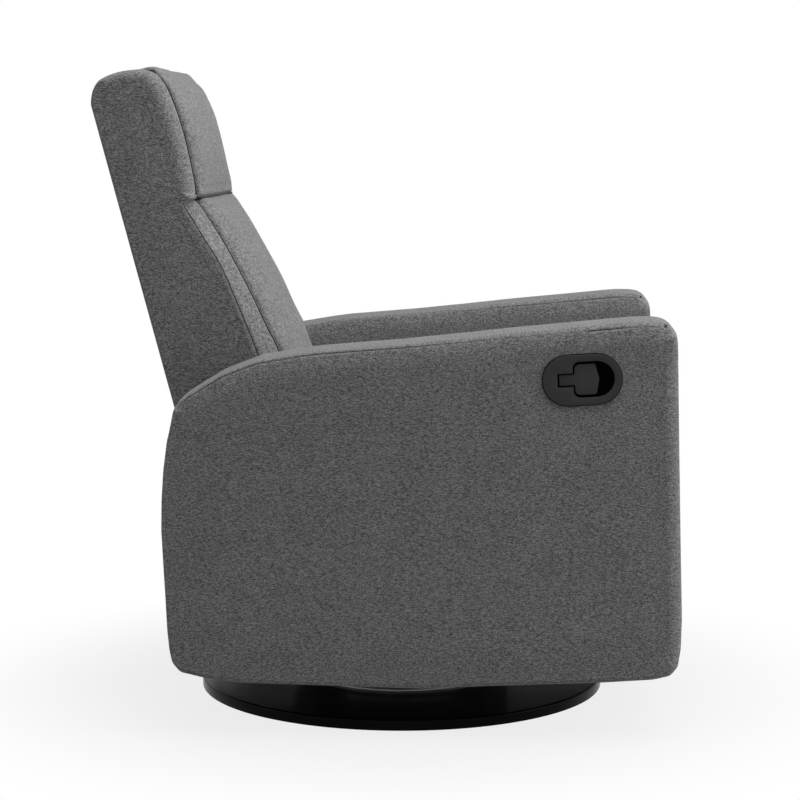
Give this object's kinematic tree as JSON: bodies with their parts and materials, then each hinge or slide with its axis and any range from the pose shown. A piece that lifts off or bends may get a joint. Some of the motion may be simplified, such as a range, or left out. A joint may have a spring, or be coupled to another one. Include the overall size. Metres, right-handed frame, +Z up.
{
  "type": "swivel glider recliner",
  "caption": "Upholstered armchair on a round swivel base that glides, reclines and raises a footrest, with a recessed lever in the right arm.",
  "frame": {"origin": "on the floor at the swivel axis", "axes": "+X towards the sitter's feet, +Y to the sitter's left, +Z up"},
  "size_m": [0.877, 0.744, 0.9893],
  "materials": {
    "fabric": "heathered charcoal weave",
    "disc": "gloss black",
    "rubber": "matte",
    "steel": "zinc plated",
    "black_steel": "satin black",
    "wood": "bare plywood",
    "plastic": "moulded, fine grain"
  },
  "bodies": {
    "base": {"floor_pad": "rubber", "base_disc": "disc", "lower_bearing_ring": "steel"},
    "swivel": {"ball_cage": "steel", "upper_bearing_ring": "steel", "glide_frame": "black_steel"},
    "front_left_hanger": {"front_left_glide_link": "steel"},
    "front_right_hanger": {"front_right_glide_link": "steel"},
    "rear_left_hanger": {"rear_left_glide_link": "steel"},
    "rear_right_hanger": {"rear_right_glide_link": "steel"},
    "chair": {"carriage_frame": "black_steel", "left_arm_cover": "fabric", "right_arm_cover": "fabric", "left_arm_frame": "wood", "right_arm_frame": "wood", "release_cable": "plastic", "lever_bezel": "plastic", "front_stretcher": "wood", "rear_stretcher": "wood", "rear_panel_board": "wood", "rear_panel_cover": "fabric", "left_mechanism_plate": "black_steel", "right_mechanism_plate": "black_steel", "left_seat_track": "black_steel", "right_seat_track": "black_steel"},
    "lever": {"lever_paddle": "plastic"},
    "back": {"back_cover": "fabric", "back_frame": "wood", "left_back_bracket": "black_steel", "right_back_bracket": "black_steel", "head_cushion": "fabric", "lumbar_cushion": "fabric"},
    "seat": {"seat_frame": "wood", "seat_spring_1": "steel", "seat_spring_2": "steel", "seat_spring_3": "steel", "seat_spring_4": "steel", "seat_front_cover": "fabric", "seat_cushion": "fabric"},
    "main_links": {"left_main_link": "steel", "right_main_link": "steel"},
    "rear_links": {"left_rear_link": "steel", "right_rear_link": "steel", "torque_tube": "black_steel"},
    "long_links": {"left_long_link": "steel", "right_long_link": "steel"},
    "lower_links": {"left_lower_link": "steel", "right_lower_link": "steel"},
    "footrest": {"left_footrest_bracket": "black_steel", "right_footrest_bracket": "black_steel", "footrest_board": "wood", "footrest_cushion": "fabric"}
  },
  "joints": [
    {"name": "swivel_turn", "type": "hinge", "parent": "base", "child": "swivel", "pos_m": [0, 0, 0.026], "axis": [0, 0, 1], "continuous": true},
    {"name": "glide", "type": "hinge", "parent": "swivel", "child": "front_left_hanger", "pos_m": [0.15, 0.135, 0.215], "axis": [0, -1, 0], "range_deg": [-24, 24]},
    {"name": "chair_hang", "type": "hinge", "parent": "front_left_hanger", "child": "chair", "pos_m": [0.15, 0.135, 0.095], "axis": [0, -1, 0], "range_deg": [-24, 24]},
    {"name": "front_right_hang", "type": "hinge", "parent": "swivel", "child": "front_right_hanger", "pos_m": [0.15, -0.135, 0.215], "axis": [0, -1, 0], "range_deg": [-24, 24]},
    {"name": "rear_left_hang", "type": "hinge", "parent": "swivel", "child": "rear_left_hanger", "pos_m": [-0.15, 0.135, 0.215], "axis": [0, -1, 0], "range_deg": [-24, 24]},
    {"name": "rear_right_hang", "type": "hinge", "parent": "swivel", "child": "rear_right_hanger", "pos_m": [-0.15, -0.135, 0.215], "axis": [0, -1, 0], "range_deg": [-24, 24]},
    {"name": "lever_pull", "type": "hinge", "parent": "chair", "child": "lever", "pos_m": [0.24406, -0.366, 0.53205], "axis": [0.0611, 0, -0.9981], "range_deg": [0, 28], "stiffness_Nm_per_rad": 0.4},
    {"name": "recline", "type": "hinge", "parent": "chair", "child": "back", "pos_m": [-0.235, 0, 0.45], "axis": [0, -1, 0], "range_deg": [0, 28]},
    {"name": "seat_slide", "type": "slide", "parent": "chair", "child": "seat", "axis": [0.9986, 0, 0.0523], "range_m": [0, 0.075]},
    {"name": "footrest_lift", "type": "hinge", "parent": "chair", "child": "main_links", "pos_m": [0.308, 0, 0.335], "axis": [0, -1, 0], "range_deg": [0, 100]},
    {"name": "rear_link_turn", "type": "hinge", "parent": "chair", "child": "rear_links", "pos_m": [0.2545, 0, 0.3477], "axis": [0, -1, 0], "range_deg": [0, 99]},
    {"name": "long_link_turn", "type": "hinge", "parent": "main_links", "child": "long_links", "pos_m": [0.18277, 0, 0.13567], "axis": [0, -1, 0], "range_deg": [-110, 0]},
    {"name": "lower_link_turn", "type": "hinge", "parent": "main_links", "child": "lower_links", "pos_m": [0.21469, 0, 0.18648], "axis": [0, -1, 0], "range_deg": [-110, 0]},
    {"name": "panel_turn", "type": "hinge", "parent": "long_links", "child": "footrest", "pos_m": [0.30294, 0, 0.27103], "axis": [0, -1, 0], "range_deg": [0, 110]}
  ],
  "couplings": [
    {"joint": "chair_hang", "follows": "glide", "ratio": -1},
    {"joint": "front_right_hang", "follows": "glide", "ratio": 1},
    {"joint": "rear_left_hang", "follows": "glide", "ratio": 1},
    {"joint": "rear_right_hang", "follows": "glide", "ratio": 1},
    {"joint": "seat_slide", "follows": "recline", "m_per_rad": 0.1525},
    {"joint": "rear_link_turn", "follows": "footrest_lift", "ratio": 0.989},
    {"joint": "long_link_turn", "follows": "footrest_lift", "ratio": -1.1},
    {"joint": "lower_link_turn", "follows": "footrest_lift", "ratio": -1.1},
    {"joint": "panel_turn", "follows": "footrest_lift", "ratio": 1.1}
  ]
}
